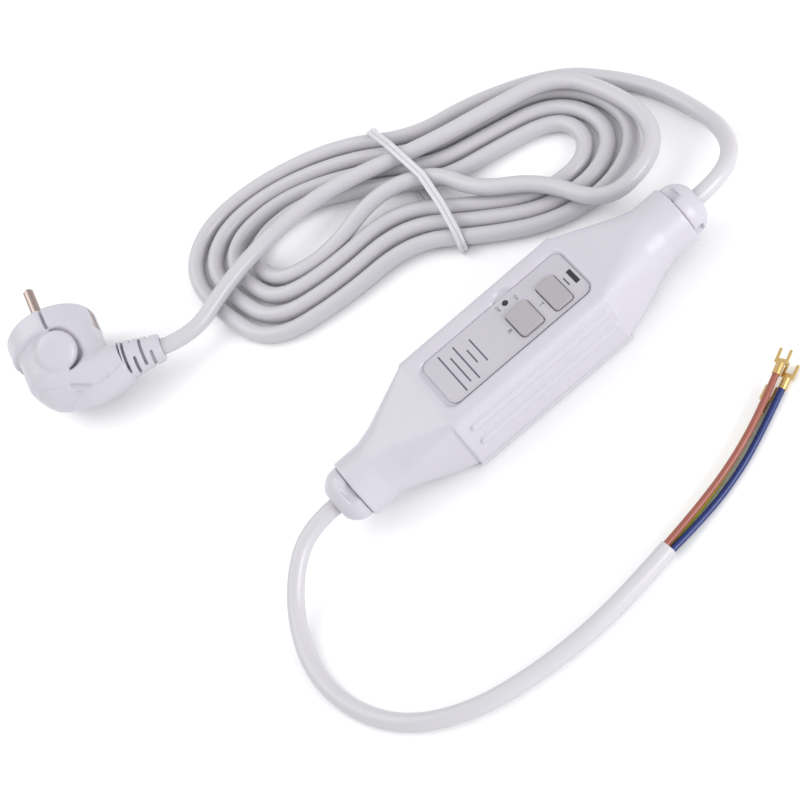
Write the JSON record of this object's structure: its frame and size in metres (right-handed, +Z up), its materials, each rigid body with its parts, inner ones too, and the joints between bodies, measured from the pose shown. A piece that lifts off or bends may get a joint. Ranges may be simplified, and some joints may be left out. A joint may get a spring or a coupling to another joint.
{
  "type": "rcd power cord",
  "caption": "Mains lead with an in-line residual current device: a tapered white housing with test and reset buttons, a tied hank of cord to an angled earthed plug, and a pigtail with fork ends",
  "frame": {"origin": "middle of the underside of the housing", "axes": "X along the housing toward the supply cord, Y away from the viewer, Z up"},
  "size_m": [0.3005, 0.3117, 0.0416],
  "materials": {
    "housing_white": "fine satin",
    "button_grey": "satin",
    "window_black": "polished",
    "cord_white": "soft satin sheath",
    "tie_white": "smooth",
    "core_brown_skin": "smooth",
    "core_blue_skin": "smooth",
    "core_earth_skin": "smooth, green and yellow",
    "brass": "drawn",
    "nickel": "nickel plated",
    "steel": "zinc plated",
    "copper": "enamelled wire",
    "ferrite": "dull",
    "board_green": "solder mask",
    "inner_plastic": "moulded",
    "flag_red": "smooth",
    "seal_rubber": "dull",
    "lamp_clear": "clear tinted",
    "varistor_blue": "coated",
    "capacitor_yellow": "moulded"
  },
  "bodies": {
    "housing": {"upper_housing": "housing_white", "lower_cover": "housing_white", "gland_cap_supply": "housing_white", "gland_cap_load": "housing_white", "fascia_panel": "housing_white", "cord_clamps": "housing_white", "plug_body": "housing_white", "plug_strain_relief": "housing_white", "housing_gasket": "seal_rubber", "gland_seals": "seal_rubber", "cover_screws": "steel", "clamp_screws": "steel", "board_screws": "steel", "gland_cord_ends": "cord_white", "test_spring": "steel", "reset_spring": "steel", "lamp_window": "window_black", "indicator_window": "window_black", "status_lamp": "lamp_clear", "circuit_board": "board_green", "supply_terminals": "brass", "load_terminals": "brass", "sensing_core": "ferrite", "sensing_winding": "copper", "solenoid_coil": "copper", "solenoid_yoke": "steel", "plunger_spring": "steel", "contact_frame": "inner_plastic", "fixed_contacts": "brass", "test_contacts": "brass", "varistor": "varistor_blue", "capacitor": "capacitor_yellow", "control_chip": "inner_plastic", "live_leads": "core_brown_skin", "neutral_leads": "core_blue_skin", "earth_lead": "core_earth_skin", "supply_cord_body_end": "cord_white", "supply_cord_hank": "cord_white", "hank_tie": "tie_white", "supply_cord_plug_end": "cord_white", "load_cord": "cord_white", "core_brown": "core_brown_skin", "core_blue": "core_blue_skin", "core_earth": "core_earth_skin", "fork_brown": "brass", "fork_blue": "brass", "fork_earth": "brass", "plug_pins": "nickel", "plug_pin_carrier": "inner_plastic", "plug_earth_contacts": "nickel"},
    "test_button": {"test_button": "button_grey"},
    "reset_button": {"reset_button": "button_grey"},
    "carriage": {"contact_carriage": "inner_plastic", "moving_contacts": "brass", "status_flag": "flag_red"},
    "plunger": {"trip_plunger": "steel"}
  },
  "joints": [
    {"name": "test_press", "type": "slide", "parent": "housing", "child": "test_button", "axis": [0, 0, -1], "range_m": [0, 0.0012], "stiffness_N_per_m": 250, "springref_m": -0.003, "deforming": ["test_spring"]},
    {"name": "reset_press", "type": "slide", "parent": "housing", "child": "reset_button", "axis": [0, 0, -1], "range_m": [0, 0.0018], "stiffness_N_per_m": 300, "springref_m": -0.003, "deforming": ["reset_spring"]},
    {"name": "contact_close", "type": "slide", "parent": "housing", "child": "carriage", "axis": [0, 0, 1], "range_m": [0, 0.0015]},
    {"name": "plunger_pull", "type": "slide", "parent": "housing", "child": "plunger", "axis": [0, 0, -1], "range_m": [0, 0.0025], "stiffness_N_per_m": 120, "springref_m": -0.003, "deforming": ["plunger_spring"]}
  ]
}
